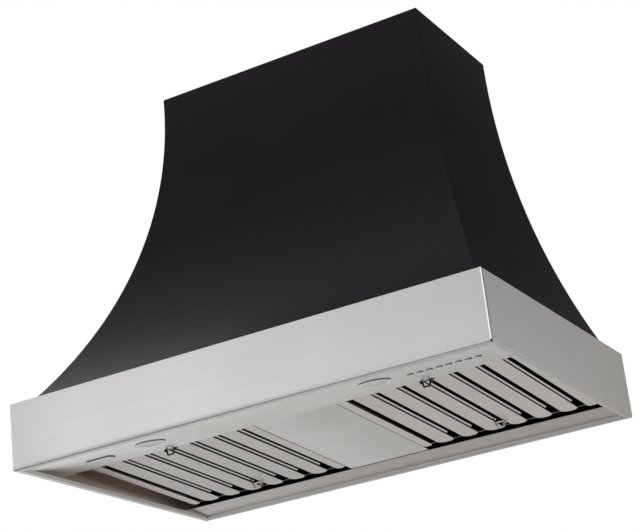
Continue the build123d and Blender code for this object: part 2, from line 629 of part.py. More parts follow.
with BuildPart() as blower_scroll:
    with BuildSketch(Plane.YZ) as wrap:
        with BuildLine():
            Line((WALL_Y, OUTLET_Z), (WALL_Y, FAN_Z + 112))
            Line((WALL_Y, FAN_Z + 112), INNER[0])
            spiral_arcs(INNER)
            Line(INNER[-1], (REAR_Y, OUTLET_Z))
            Line((REAR_Y, OUTLET_Z), (REAR_Y + 1, OUTLET_Z))
            Line((REAR_Y + 1, OUTLET_Z), OUTER[-1])
            spiral_arcs(OUTER[::-1])
            Line(OUTER[0], (WALL_Y - 1, FAN_Z + 112.6))
            Line((WALL_Y - 1, FAN_Z + 112.6), (WALL_Y - 1, OUTLET_Z))
            Line((WALL_Y - 1, OUTLET_Z), (WALL_Y, OUTLET_Z))
        make_face()
    extrude(amount=SCROLL_HALF, both=True)
save(blower_scroll.part, "blower_scroll")

for side, s in (("left", -1), ("right", 1)):
    with BuildPart() as side_plate:
        with BuildSketch(Plane.YZ.offset(s * SCROLL_HALF)) as cheek:
            with BuildLine():
                Line((REAR_Y + 1, OUTLET_Z), OUTER[-1])
                spiral_arcs(OUTER[::-1])
                Line(OUTER[0], (WALL_Y - 1, FAN_Z + 112.6))
                Line((WALL_Y - 1, FAN_Z + 112.6), (WALL_Y - 1, OUTLET_Z))
                Line((WALL_Y - 1, OUTLET_Z), (REAR_Y + 1, OUTLET_Z))
            make_face()
            with Locations((FAN_Y, FAN_Z)):
                Circle(77.0, mode=Mode.SUBTRACT)
        extrude(amount=s * 1.0)
        # inlet ring that reaches just inside the wheel
        with BuildSketch(Plane.YZ.offset(s * 94)) as inlet:
            with Locations((FAN_Y, FAN_Z)):
                Circle(78.0)
                Circle(77.0, mode=Mode.SUBTRACT)
        extrude(amount=s * (SCROLL_HALF + 1 - 94))
    save(side_plate.part, f"blower_side_{side}")

MOUTH_Y = (WALL_Y - 1 + REAR_Y + 1) / 2
MOUTH_D = REAR_Y + 1 - (WALL_Y - 1)
MOUTH_W = 2 * SCROLL_HALF + 2
SLEEVE_Z = 752.0
with BuildPart() as outlet_adapter:
    with BuildSketch(Plane.XY.offset(OUTLET_Z)) as mouth:
        with Locations((0, MOUTH_Y)):
            RectangleRounded(MOUTH_W, MOUTH_D, 4)
    with BuildSketch(Plane.XY.offset(SLEEVE_Z)) as ring:
        with Locations((0, COLLAR_Y)):
            Circle(COLLAR_R + 1.6)
    loft()
    with BuildSketch(Plane.XY.offset(OUTLET_Z)) as mouth_in:
        with Locations((0, MOUTH_Y)):
            RectangleRounded(MOUTH_W - 2, MOUTH_D - 2, 3)
    with BuildSketch(Plane.XY.offset(SLEEVE_Z)) as ring_in:
        with Locations((0, COLLAR_Y)):
            Circle(COLLAR_R + 0.6)
    loft(mode=Mode.SUBTRACT)
    with BuildSketch(Plane.XY.offset(SLEEVE_Z)) as sleeve:
        with Locations((0, COLLAR_Y)):
            Circle(COLLAR_R + 1.6)
            Circle(COLLAR_R + 0.6, mode=Mode.SUBTRACT)
    extrude(amount=SHELL_TOP - SHEET - SLEEVE_Z)
    # ears under the top plate for the screws
    for x, y in TOP_SCREWS:
        with BuildSketch(Plane.XY.offset(SHELL_TOP - SHEET - 1)) as ear:
            s = 1 if x > 0 else -1
            with Locations((s * 102, y)):
                Rectangle(34, 22)
            with Locations((0, COLLAR_Y)):
                Circle(COLLAR_R + 0.6, mode=Mode.SUBTRACT)
            with Locations((x, y)):
                Circle(2.6, mode=Mode.SUBTRACT)
        extrude(amount=1)
save(outlet_adapter.part, "outlet_adapter")

with BuildPart() as top_screws:
    for x, y in TOP_SCREWS:
        drill(x, y, SHELL_TOP - 1, 2.5, 6, mode=Mode.ADD)
        drill(x, y, SHELL_TOP + 2.5, 4.5, 3, mode=Mode.ADD)
        drill(x, y, SHELL_TOP - SHEET - 1 - 2, 4.0, 4, mode=Mode.ADD)
save(top_screws.part, "top_screws")

with BuildPart() as motor:
    with BuildSketch(Plane.YZ.offset(-106)) as can:
        with Locations((FAN_Y, FAN_Z)):
            Circle(56)
    extrude(amount=88)
    fillet(motor.edges().filter_by(GeomType.CIRCLE), 5)
    with BuildSketch(Plane.YZ.offset(-18)) as boss:
        with Locations((FAN_Y, FAN_Z)):
            Circle(16)
    extrude(amount=5)
    with BuildSketch(Plane.YZ.offset(-70)) as belt:
        with Locations((FAN_Y, FAN_Z)):
            Circle(58)
    extrude(amount=14)
    with BuildSketch(Plane.YZ.offset(-50)) as bore:
        with Locations((FAN_Y, FAN_Z)):
            Circle(SHAFT_R + 0.06)
    extrude(amount=60, mode=Mode.SUBTRACT)
save(motor.part, "motor")

with BuildPart() as motor_bracket:
    with BuildSketch(Plane.YZ.offset(-108)) as spider:
        with Locations((FAN_Y, FAN_Z)):
            Circle(48)
            for ang in (90, 210, 330):
                with Locations(Location((0, 0, 0), (0, 0, ang))):
                    with Locations((46, 0)):
                        Rectangle(92, 22)
            Circle(30, mode=Mode.SUBTRACT)
    extrude(amount=2)
save(motor_bracket.part, "motor_bracket")

with BuildPart() as motor_shaft:
    with BuildSketch(Plane.YZ.offset(-49)) as shaft:
        with Locations((FAN_Y, FAN_Z)):
            Circle(SHAFT_R)
    extrude(amount=64)
save(motor_shaft.part, "motor_shaft")

# hub plate, end rings and blades meet face to face, as pressed strips do
BLADE_T, BLADE_W, BLADE_ANGLE = 1.0, 14.5, 35
with BuildPart() as impeller:
    with BuildSketch(Plane.YZ.offset(-1)) as hub_plate:
        with Locations((FAN_Y, FAN_Z)):
            Circle(WHEEL_R)
    extrude(amount=2)
    with BuildSketch(Plane.YZ.offset(-9)) as hub_boss:
        with Locations((FAN_Y, FAN_Z)):
            Circle(13)
    extrude(amount=18)
    for x0 in (-WHEEL_HALF, WHEEL_HALF - 2):
        with BuildSketch(Plane.YZ.offset(x0)) as end_ring:
            with Locations((FAN_Y, FAN_Z)):
                Circle(WHEEL_R)
                Circle(WHEEL_IN, mode=Mode.SUBTRACT)
        extrude(amount=2)
    with BuildSketch(Plane.YZ.offset(-20)) as wheel_bore:
        with Locations((FAN_Y, FAN_Z)):
            Circle(SHAFT_R)
    extrude(amount=40, mode=Mode.SUBTRACT)
    for x0 in (-WHEEL_HALF + 2.02, 1.02):
        with BuildSketch(Plane.YZ.offset(x0)) as blades:
            with Locations((FAN_Y, FAN_Z)):
                with PolarLocations((WHEEL_R + WHEEL_IN) / 2, 36):
                    Rectangle(BLADE_W, BLADE_T, rotation=BLADE_ANGLE)
        extrude(amount=WHEEL_HALF - 3.04)
save(impeller.part, "impeller")

# --------------------------------------------------------------- electrical
JX0, JX1, JY0, JY1, JZ0, JZ1 = -178.0, -92.0, 244.8, 304.8, 680.8, 770.8
with BuildPart() as junction_box:
    block(JX0, JX1, JY0, JY1, JZ0, JZ1)
    block(JX0 + 1, JX1 - 1, JY0 - 1, JY1 - 1, JZ0 + 1, JZ1 - 1, mode=Mode.SUBTRACT)
    with Locations((GLAND_X, GLAND_Y, JZ1)):
        Cylinder(11.2, 6, mode=Mode.SUBTRACT)
save(junction_box.part, "junction_box")

with BuildPart() as junction_cover:
    block(JX0, JX1, JY0 - 1, JY0, JZ0, JZ1 - 0.5)
    for z in (JZ0 + 8, JZ1 - 10):
        with Locations(Location(((JX0 + JX1) / 2, JY0 - 2, z), (90, 0, 0))):
            Cylinder(3.5, 2.2)
save(junction_cover.part, "junction_box_cover")

with BuildPart() as cable_gland:
    for z0, z1, r in ((763, SHELL_TOP, 11.0), (779, 788, 11.5)):
        with BuildSketch(Plane.XY.offset(z0)) as collar:
            with Locations((GLAND_X, GLAND_Y)):
                Circle(r)
        extrude(amount=z1 - z0)
    with BuildSketch(Plane.XY.offset(SHELL_TOP)) as hexagon:
        with Locations((GLAND_X, GLAND_Y)):
            RegularPolygon(15, 6)
    extrude(amount=7)
    with BuildSketch(Plane.XY.offset(763.8)) as locknut:
        with Locations((GLAND_X, GLAND_Y)):
            RegularPolygon(14, 6)
    extrude(amount=6)
    fillet(cable_gland.edges().filter_by(GeomType.CIRCLE).sort_by(Axis.Z)[-1], 3)
    with Locations((GLAND_X, GLAND_Y, 776)):
        Cylinder(5.0, 40, mode=Mode.SUBTRACT)
save(cable_gland.part, "cable_gland")

with BuildPart() as power_box:
    block(92, 178, 254.8, 304.8, 560, 700)
    block(94, 176, 256.8, 305, 562, 698, mode=Mode.SUBTRACT)
    for z in (575, 685):
        with Locations(Location((135, 254.3, z), (90, 0, 0))):
            Cylinder(4, 1.0)
save(power_box.part, "power_box")

print("strip tilt", round(STRIP_TILT, 3), "spacer", round(SPACER_X0, 2), round(SPACER_W, 2))
print("bail low z", round(FILTER_Z0 - sin(a_) * HANDLE_V["rear"] - BAIL_DROP * cos(a_), 2))
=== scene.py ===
"""Looks of the wall mount range hood: finishes, bent edges, fasteners, lamps, light and camera."""

import math

import bmesh
import bpy
from mathutils import Matrix, Vector

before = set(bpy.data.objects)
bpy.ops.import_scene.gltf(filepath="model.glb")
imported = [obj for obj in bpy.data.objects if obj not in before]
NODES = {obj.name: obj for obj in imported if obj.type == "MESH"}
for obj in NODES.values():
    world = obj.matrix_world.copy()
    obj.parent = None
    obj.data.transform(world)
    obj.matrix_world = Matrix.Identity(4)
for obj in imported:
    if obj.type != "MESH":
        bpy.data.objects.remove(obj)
bpy.context.view_layer.update()
scene = bpy.context.scene

# ------------------------------------------------------------------- camera
# the photograph's view: from below, in front and to the right, a little rolled
CAM_AT = Vector((1.42201, -2.70876, -0.82523))
CAM_RIGHT = Vector((0.86374677, 0.49197898, -0.10907890))
CAM_DOWN = Vector((-0.26522831, 0.25978162, -0.92852973))
CAM_AHEAD = Vector((-0.42848042, 0.83094536, 0.35487229))
cam_data = bpy.data.cameras.new("camera")
cam_data.sensor_fit = "HORIZONTAL"
cam_data.sensor_width = 36.0
cam_data.lens = 100.8917
cam_data.clip_start, cam_data.clip_end = 0.05, 200
camera = bpy.data.objects.new("camera", cam_data)
scene.collection.objects.link(camera)
rot = Matrix((CAM_RIGHT, -CAM_DOWN, -CAM_AHEAD)).transposed()
camera.matrix_world = Matrix.Translation(CAM_AT) @ rot.to_4x4()
scene.camera = camera

scene.view_settings.view_transform = "Standard"
scene.view_settings.look = "None"
scene.cycles.use_denoising = True
scene.cycles.max_bounces = 8
scene.cycles.caustics_reflective = True


# ---------------------------------------------------------- shader utilities
class Shader:
    """A material and short calls to add its nodes."""

    def __init__(self, name):
        self.mat = bpy.data.materials.new(name)
        self.mat.use_nodes = True
        self.tree = self.mat.node_tree
        self.tree.nodes.clear()
        self.out = self.tree.nodes.new("ShaderNodeOutputMaterial")
        self.bsdf = self.tree.nodes.new("ShaderNodeBsdfPrincipled")
        self.link(self.bsdf.outputs[0], self.out.inputs["Surface"])
        self._coords = None

    def node(self, kind, **props):
        n = self.tree.nodes.new(kind)
        for k, v in props.items():
            setattr(n, k, v)
        return n

    def link(self, a, b):
        self.tree.links.new(a, b)

    def coords(self, scale=(1, 1, 1), rotation=(0, 0, 0), location=(0, 0, 0)):
        """Object coordinates, which are the part's own metres, scaled."""
        if self._coords is None:
            self._coords = self.node("ShaderNodeTexCoord")
        m = self.node("ShaderNodeMapping")
        m.inputs["Scale"].default_value = scale
        m.inputs["Rotation"].default_value = rotation
        m.inputs["Location"].default_value = location
        self.link(self._coords.outputs["Object"], m.inputs["Vector"])
        return m.outputs[0]

    def noise(self, vector, scale=1.0, detail=2.0, rough=0.5, distortion=0.0):
        n = self.node("ShaderNodeTexNoise")
        n.inputs["Scale"].default_value = scale
        n.inputs["Detail"].default_value = detail
        n.inputs["Roughness"].default_value = rough
        n.inputs["Distortion"].default_value = distortion
        self.link(vector, n.inputs["Vector"])
        return n.outputs["Fac"]

    def spread(self, value, low, high, from_low=0.3, from_high=0.7):
        n = self.node("ShaderNodeMapRange", clamp=True)
        n.inputs["From Min"].default_value = from_low
        n.inputs["From Max"].default_value = from_high
        n.inputs["To Min"].default_value = low
        n.inputs["To Max"].default_value = high
        self.link(value, n.inputs["Value"])
        return n.outputs[0]

    def math(self, op, a, b):
        n = self.node("ShaderNodeMath", operation=op)
        for i, v in enumerate((a, b)):
            if isinstance(v, (int, float)):
                n.inputs[i].default_value = v
            else:
                self.link(v, n.inputs[i])
        return n.outputs[0]

    def mix(self, fac, a, b, blend="MIX"):
        n = self.node("ShaderNodeMix", data_type="RGBA", blend_type=blend)
        if isinstance(fac, (int, float)):
            n.inputs["Factor"].default_value = fac
        else:
            self.link(fac, n.inputs["Factor"])
        for socket, v in ((n.inputs[6], a), (n.inputs[7], b)):
            if isinstance(v, tuple):
                socket.default_value = (*v, 1.0)
            else:
                self.link(v, socket)
        return n.outputs[2]

    def colour(self, v):
        if isinstance(v, tuple):
            self.bsdf.inputs["Base Color"].default_value = (*v, 1.0)
        else:
            self.link(v, self.bsdf.inputs["Base Color"])

    def set(self, **values):
        for k, v in values.items():
            socket = self.bsdf.inputs[k.replace("_", " ")]
            if isinstance(v, (int, float)):
                socket.default_value = v
            else:
                self.link(v, socket)

    def along(self, direction, offset=0.0):
        """How far a point lies along a direction of the part, in metres, past offset."""
        d = self.node("ShaderNodeVectorMath", operation="DOT_PRODUCT")
        self.link(self.coords(), d.inputs[0])
        d.inputs[1].default_value = direction
        return self.math("SUBTRACT", d.outputs["Value"], offset)

    def facing(self, direction):
        """How much the surface faces along a direction of the part or against it, 0 to 1."""
        if self._coords is None:
            self._coords = self.node("ShaderNodeTexCoord")
        d = self.node("ShaderNodeVectorMath", operation="DOT_PRODUCT")
        self.link(self._coords.outputs["Normal"], d.inputs[0])
        d.inputs[1].default_value = direction
        return self.math("ABSOLUTE", d.outputs["Value"], 0.0)

    def bump(self, *heights):
        """Bumps from (height, distance in metres, strength), on top of each other."""
        last = None
        for height, distance, strength in heights:
            n = self.node("ShaderNodeBump")
            n.inputs["Strength"].default_value = strength
            n.inputs["Distance"].default_value = distance
            self.link(height, n.inputs["Height"])
            if last is not None:
                self.link(last, n.inputs["Normal"])
            last = n.outputs[0]
        self.link(last, self.bsdf.inputs["Normal"])


def brushed(name, along, base, rough=0.30, tint=(1.0, 1.0, 1.0), spread=0.05, grain=1.0, shades=()):
    """Brushed steel with its scratches along one axis of the part.

    Each of shades is a pair: a function of the shader that gives a mask, and the
    colour of painted shade and painted light that the mask brings in."""
    s = Shader(name)
    i = "xyz".index(along)

    def stretch(fine, long):
        v = [fine, fine, fine]
        v[i] = long
        return s.coords(tuple(v))

    fine = s.noise(stretch(2600, 16), 1.0, 2.0, 0.6)
    medium = s.noise(stretch(620, 5), 1.0, 3.0, 0.65)
    broad = s.noise(stretch(70, 1.6), 1.0, 2.0, 0.5)
    cloud = s.noise(s.coords((5, 5, 5)), 1.0, 3.0, 0.55)
    streak = s.math("ADD", s.math("MULTIPLY", fine, 0.5), s.math("MULTIPLY", medium, 0.5))
    light = tuple(min(1.0, base * (1 + spread) * t) for t in tint)
    dark = tuple(base * (1 - spread) * t for t in tint)
    col = s.mix(s.spread(streak, 0, 1, 0.38, 0.62), dark, light)
    wipe = tuple(base * 0.94 * t for t in tint)
    col = s.mix(s.math("MULTIPLY", s.spread(cloud, 0, 1, 0.42, 0.68), 0.35), col, wipe)
    # painted shade and painted light laid over the steel's colour
    for mask, deep in shades:
        col = s.mix(mask(s), col, deep)
    s.colour(col)
    r = s.math("ADD", s.spread(streak, rough - 0.05, rough + 0.05), s.spread(broad, -0.02, 0.02))
    r = s.math("ADD", r, s.spread(cloud, -0.02, 0.04))
    s.set(Metallic=1.0, Roughness=r)
    s.bump((fine, 0.00004, 0.35 * grain), (medium, 0.00008, 0.22 * grain))
    return s.mat


# ------------------------------------------------------------------ materials
STEEL = (1.0, 0.99, 0.975)
TILT = math.radians(2.72)
DEPTH_W = (0, math.sin(TILT), math.cos(TILT))        # into the filters, from below
DEPTH_0 = -0.1335 * math.sin(TILT) + 0.0274 * math.cos(TILT)
STRIP_B = math.atan2(0.022, 0.155)
STRIP_UP = (0, -math.sin(STRIP_B), math.cos(STRIP_B))


def painted_filter_shade(s):
    """Painted shade inside the filters' frames, above the lips, and on the rear web behind the slats."""
    depth = s.along(DEPTH_W, DEPTH_0)
    behind = s.spread(s.along((0, 1, 0)), 0, 1, 0.1965, 0.1975)
    low = s.math("MULTIPLY", behind, s.spread(depth, 0, 1, 0.0009, 0.0012))
    high = s.math("MAXIMUM", low, s.spread(depth, 0, 1, 0.0036, 0.0046))
    return s.math("MULTIPLY", high, s.spread(s.along((1, 0, 0)), 0, 1, -0.4185, -0.4183))


def flares(s):
    """The slats' flared hems, for a painted highlight."""
    return s.spread(s.along(DEPTH_W, DEPTH_0), 0, 1, 0.0033, 0.0038)


def lips(s):
    """Painted shade on the upright sides of the slats' lips, weaker towards the right."""
    upright = s.math("MULTIPLY", s.spread(s.facing((1, 0, 0)), 0, 1, 0.85, 0.95), s.spread(s.along(DEPTH_W, DEPTH_0), 0, 1, 0.0008, 0.0012))
    return s.math("MULTIPLY", upright, s.spread(s.along((1, 0, 0)), 1, 0.5, 0.0, 0.2))


def trough_lip(s):
    """The trough's front lip, in the shade behind the slats' ends."""
    front = s.spread(s.along((0, 1, 0)), 1, 0, 0.2301, 0.2311)
    return s.math("MULTIPLY", front, s.spread(s.along((0, 0, 1)), 0, 1, 0.0106, 0.0112))


def edges(direction, low=0.55, high=0.85, most=1.0):
    """The side walls of a flat piece whose face looks along direction, for painted shade."""
    return lambda s: s.spread(s.facing(direction), most, 0, low, high)


def inner_wall(s):
    """The rim's inner wall, above its rounded foot; on its own it brings in a painted warm reflection."""
    inside = s.spread(s.math("ABSOLUTE", s.along((1, 0, 0)), 0), 1, 0, 0.4422, 0.4430)
    return s.math("MULTIPLY", inside, s.spread(s.along((0, 0, 1)), 0, 1, 0.0040, 0.0060))


# painted shade: the inner wall darker towards its front
def inner_wall_front(s):
    return s.math("MULTIPLY", inner_wall(s), s.spread(s.along((0, 1, 0)), 1, 0, -0.28, 0.10))


def inner_wall_rear(s):
    """Painted shade on the inner wall's rear end, deep in the corner."""
    return s.math("MULTIPLY", inner_wall(s), s.spread(s.along((0, 1, 0)), 0, 0.85, 0.15, 0.28))


def front_bend(s):
    """Painted shade along the rolled edge under the band's front, fading towards the right."""
    edge = s.spread(s.along((0, 1, 1), -0.306), 1, 0, 0.0028, 0.0080)
    return s.math("MULTIPLY", edge, s.spread(s.along((1, 0, 0)), 1, 0.2, -0.1, 0.35))


def upright_corner(s):
    """Painted highlight on the band front's bent corners and short returns."""
    return s.spread(s.math("ABSOLUTE", s.along((1, 0, 0)), 0), 0, 1, 0.4545, 0.4560)


def corner_seam(s):
    """A painted shadow line on the side, where it meets the front's return."""
    return s.spread(s.along((0, 1, 0)), 1, 0, -0.3008, -0.2994)


def painted_gradient(direction, start, end, most):
    """Painted light and shade that grows from start to end along a direction."""
    return lambda s: s.spread(s.along(direction), 0, most, start, end)


M = {}
# painted shade: darker towards the right and at the left end, a painted highlight on the bent corners, painted shade
# along the rolled bottom edge
M["band_front"] = brushed("steel_band_front", "x", 0.74, 0.30, STEEL, spread=0.035,
                          shades=((painted_gradient((1, 0, 0), -0.1, 0.45, 0.7), (0.60, 0.59, 0.575)),
                                  (painted_gradient((-1, 0, 0), 0.32, 0.44, 0.9), (0.635, 0.63, 0.63)),
                                  (upright_corner, (0.97, 0.965, 0.95)), (front_bend, (0.50, 0.49, 0.49))))
# painted shade: the sides darker and warmer towards the rear, a painted warm reflection on the rim's inner wall with
# painted shade at its front and rear end, and a painted shadow line along the seam behind the front's return
M["band_side"] = brushed("steel_band_side", "y", 0.74, 0.30, STEEL, spread=0.035,
                         shades=((painted_gradient((0, 1, 0), -0.30, 0.3, 0.8), (0.55, 0.515, 0.48)), (inner_wall, (0.95, 0.84, 0.74)),
                                 (inner_wall_front, (0.135, 0.118, 0.095)), (inner_wall_rear, (0.20, 0.165, 0.145)), (corner_seam, (0.14, 0.135, 0.13))))
M["band_rear"] = brushed("steel_band_rear", "x", 0.52, 0.32, STEEL)
# painted shade: the strip darker towards the right
M["strip"] = brushed("steel_strip", "x", 0.985, 0.28, (0.965, 0.99, 1.015), spread=0.03,
                      shades=((painted_gradient((1, 0, 0), -0.42, -0.10, 1.0), (0.695, 0.70, 0.685)),))
# painted shade: the trough darker towards the right and near black on its front lip
M["trough"] = brushed("steel_trough", "x", 0.67, 0.30, (1.0, 0.97, 0.955),
                       shades=((painted_gradient((1, 0, 0), -0.36, -0.08, 1.0), (0.58, 0.545, 0.515)), (trough_lip, (0.02, 0.019, 0.018)),))
# painted shade: the spacer darker towards the right
M["panel"] = brushed("steel_panel", "x", 0.80, 0.30, STEEL, shades=((painted_gradient((1, 0, 0), -0.04, 0.05, 1.0), (0.70, 0.69, 0.675)),))
# painted light: the frames lighter towards the right; painted shade: near black inside the frames and on the rear web
M["frame"] = brushed("steel_filter_frame", "y", 0.66, 0.30, (1.0, 0.965, 0.94),
                      shades=((painted_gradient((1, 0, 0), -0.3, 0.35, 1.0), (0.775, 0.73, 0.705)), (painted_filter_shade, (0.016, 0.015, 0.014)),))
# painted light: the slats lighter towards the right, a painted highlight on the flared hems, painted shade on the
# lips' upright sides
M["slat"] = brushed("steel_slats", "y", 0.64, 0.30, (1.0, 0.965, 0.94),
                     shades=((painted_gradient((1, 0, 0), -0.3, 0.35, 1.0), (0.775, 0.73, 0.705)), (flares, (0.88, 0.885, 0.87)), (lips, (0.03, 0.029, 0.028))))
# painted shade: the upper slats are steel made near black, for the dark inside of the filters
M["baffle"] = brushed("steel_baffles_shaded", "y", 0.03, 0.40, (1.0, 0.95, 0.88))
# painted shade: the filler darker towards the rear
M["filler"] = brushed("steel_filler", "y", 0.56, 0.34, (1.0, 0.93, 0.87), shades=((painted_gradient((0, 1, 0), 0.06, 0.25, 0.85), (0.20, 0.17, 0.155)),))
# painted shade on the plate's side walls
M["plate"] = brushed("steel_plate", "x", 0.80, 0.26, (1, 1, 1), spread=0.03, shades=((edges(STRIP_UP), (0.12, 0.12, 0.118)),))


def satin_black(name="black_coat", seam=False):
    s = Shader(name)
    peel = s.noise(s.coords((900, 900, 900)), 1.0, 3.0, 0.55)
    wave = s.noise(s.coords((28, 28, 28)), 1.0, 2.0, 0.5)
    smear = s.noise(s.coords((4.5, 3.5, 6.0)), 1.0, 4.0, 0.55, 0.4)
    dust = s.noise(s.coords((1700, 1700, 1700)), 1.0, 1.0, 0.5)
    col = s.mix(s.spread(smear, 0, 1, 0.35, 0.7), (0.0096, 0.0079, 0.0100), (0.0124, 0.0104, 0.0128))
    col = s.mix(s.math("MULTIPLY", s.spread(dust, 0, 1, 0.70, 0.82), 0.25), col, (0.03, 0.029, 0.031))
    # painted light: the coat lighter towards the top
    col = s.mix(s.spread(s.along((0, 0, 1)), 0, 1, 0.58, 0.74), col, (0.0165, 0.0142, 0.0170))
    r = s.math("ADD", s.spread(smear, 0.30, 0.38), s.spread(peel, -0.03, 0.03))
    if seam:
        # a painted shadow line along the seam on the side's front edge, which follows the front's sweep
        drop = s.math("SUBTRACT", 0.772, s.along((0, 0, 1)))
        sweep = s.math("SQRT", s.math("SUBTRACT", 0.888 ** 2, s.math("MULTIPLY", drop, drop)), 0)
        behind = s.math("SUBTRACT", s.along((0, 1, 0), -0.882), sweep)
        edge = s.spread(behind, 1, 0, 0.0020, 0.0045)
        col = s.mix(edge, col, (0.0008, 0.0008, 0.0008))
        r = s.math("ADD", r, s.math("MULTIPLY", edge, 0.3))
    s.colour(col)
    s.set(Roughness=r, Specular_IOR_Level=0.08)
    s.bsdf.inputs["Specular Tint"].default_value = (1.0, 0.93, 1.02, 1.0)
    s.bump((peel, 0.00002, 0.25), (wave, 0.0004, 0.05))
    return s.mat


M["black"] = satin_black()
M["black_side"] = satin_black("black_coat_side", True)


def polished(name, base=(0.62, 0.62, 0.62), rough=0.14, shades=()):
    s = Shader(name)
    fine = s.noise(s.coords((1500, 1500, 300)), 1.0, 2.0, 0.6)
    cloud = s.noise(s.coords((60, 60, 60)), 1.0, 3.0, 0.5)
    col = s.mix(s.spread(cloud, 0, 1), tuple(c * 0.93 for c in base), base)
    for mask, deep in shades:
        col = s.mix(mask(s), col, deep)
    s.colour(col)
    s.set(Metallic=1.0, Roughness=s.math("ADD", s.spread(fine, rough - 0.03, rough + 0.03), s.spread(cloud, 0, 0.05)))
    s.bump((fine, 0.00002, 0.2))
    return s.mat


M["bright"] = polished("bright_steel")
# painted shade: the front bails are the rear bails' polished steel made near black
M["wire_front_shaded"] = polished("wire_front_shaded", (0.06, 0.058, 0.054), 0.25)
M["wire_rear"] = polished("wire_rear", (0.66, 0.66, 0.65), 0.2)
# painted shade: the clips near black towards the front, like the front bails
M["clips"] = polished("clips", (0.60, 0.60, 0.59), 0.2,
                      shades=((lambda s: s.spread(s.along((0, 1, 0)), 1, 0, 0.0, 0.05), (0.06, 0.058, 0.054)),))
# painted shade on the side walls of the buttons and the lamp bezels
M["button"] = polished("button", (0.84, 0.84, 0.83), 0.26, shades=((edges(STRIP_UP), (0.36, 0.36, 0.35)),))
M["bezel"] = polished("bezel", (0.84, 0.84, 0.83), 0.26, shades=((edges(STRIP_UP), (0.22, 0.22, 0.215)),))


def galvanised():
    s = Shader("galvanised")
    v = s.node("ShaderNodeTexVoronoi", feature="F1")
    v.inputs["Scale"].default_value = 1.0
    v.inputs["Randomness"].default_value = 1.0
    s.link(s.coords((95, 95, 95)), v.inputs["Vector"])
    spangle = s.node("ShaderNodeSeparateColor")
    s.link(v.outputs["Color"], spangle.inputs[0])
    cloud = s.noise(s.coords((14, 14, 14)), 1.0, 4.0, 0.6)
    grain = s.noise(s.coords((1200, 1200, 1200)), 1.0, 2.0, 0.5)
    col = s.mix(spangle.outputs[0], (0.40, 0.41, 0.42), (0.54, 0.55, 0.56))
    col = s.mix(s.math("MULTIPLY", s.spread(cloud, 0, 1), 0.5), col, (0.47, 0.475, 0.48))
    s.colour(col)
    s.set(Metallic=1.0, Roughness=s.math("ADD", s.spread(spangle.outputs[1], 0.36, 0.5, 0, 1), s.spread(cloud, -0.03, 0.05)))
    s.bump((grain, 0.00003, 0.3))
    return s.mat


M["galvanised"] = galvanised()


def plastic(name, base, rough=0.5, mould=0.3):
    s = Shader(name)
    grain = s.noise(s.coords((1400, 1400, 1400)), 1.0, 2.0, 0.6)
    cloud = s.noise(s.coords((40, 40, 40)), 1.0, 3.0, 0.55)
    s.colour(s.mix(s.spread(cloud, 0, 1), tuple(c * 0.85 for c in base), tuple(c * 1.15 for c in base)))
    s.set(Roughness=s.math("ADD", s.spread(grain, rough - 0.06, rough + 0.06), s.spread(cloud, -0.03, 0.05)))
    s.bump((grain, 0.00005, mould))
    return s.mat


M["plastic"] = plastic("black_plastic", (0.022, 0.022, 0.023), 0.48)
M["motor"] = plastic("motor_paint", (0.05, 0.05, 0.052), 0.42, 0.5)
M["board"] = plastic("board_green", (0.015, 0.10, 0.04), 0.32, 0.15)


def cast(name):
    s = Shader(name)
    grain = s.noise(s.coords((700, 700, 700)), 1.0, 4.0, 0.65)
    cloud = s.noise(s.coords((30, 30, 30)), 1.0, 3.0, 0.5)
    s.colour(s.mix(s.spread(cloud, 0, 1), (0.42, 0.42, 0.43), (0.52, 0.52, 0.53)))
    s.set(Metallic=1.0, Roughness=s.spread(grain, 0.42, 0.58))
    s.bump((grain, 0.00012, 0.4))
    return s.mat


M["cast"] = cast("cast_aluminium")


def frosted():
    s = Shader("lamp_lens")
    grain = s.noise(s.coords((2200, 2200, 2200)), 1.0, 2.0, 0.6)
    cloud = s.noise(s.coords((55, 55, 55)), 1.0, 2.0, 0.5)
    s.colour(s.mix(s.spread(cloud, 0, 1), (0.78, 0.79, 0.78), (0.86, 0.87, 0.86)))
    s.set(Roughness=s.spread(grain, 0.30, 0.42), Subsurface_Weight=0.0)
    s.bump((grain, 0.00003, 0.3))
    return s.mat


M["lens"] = frosted()

ASSIGN = {}
for n in ("shell_front", "shell_side_left", "shell_side_right", "back_panel", "top_plate"):
    ASSIGN[n] = "black_side" if "side" in n else "black"
ASSIGN.update(band_front="band_front", band_rear="band_rear", band_side_left="band_side", band_side_right="band_side")
ASSIGN.update(control_strip="strip", grease_trough="trough", spacer_panel="panel", side_filler="filler", blank_plate="plate")
for n in NODES:
    if n.endswith("upper_slats"):
        ASSIGN[n] = "baffle"
    elif n.startswith("filter_") and n.endswith("frame"):
        ASSIGN[n] = "frame"
    elif n.endswith("lower_slats"):
        ASSIGN[n] = "slat"
    elif n.endswith("bail"):
        ASSIGN[n] = "wire_front_shaded" if "front" in n else "wire_rear"
    elif n.endswith("clips"):
        ASSIGN[n] = "clips"
    elif n.endswith("bezel"):
        ASSIGN[n] = "bezel"
    elif n.startswith("button_") and n != "button_housing":
        ASSIGN[n] = "button"
    elif n.endswith("screws"):
        ASSIGN[n] = "bright"
    elif n.endswith("lens"):
        ASSIGN[n] = "lens"
    elif n.startswith("lamp_") and n.endswith("housing"):
        ASSIGN[n] = "cast"
for n in ("duct_collar", "damper_flap_front", "damper_flap_rear", "blower_scroll", "blower_side_left", "blower_side_right",
          "outlet_adapter", "motor_bracket", "impeller", "junction_box", "junction_box_cover"):
    ASSIGN[n] = "galvanised"
ASSIGN.update(damper_rod="bright", motor_shaft="bright", motor="motor", cable_gland="plastic", power_box="plastic",
              button_housing="plastic", switch_board="board")
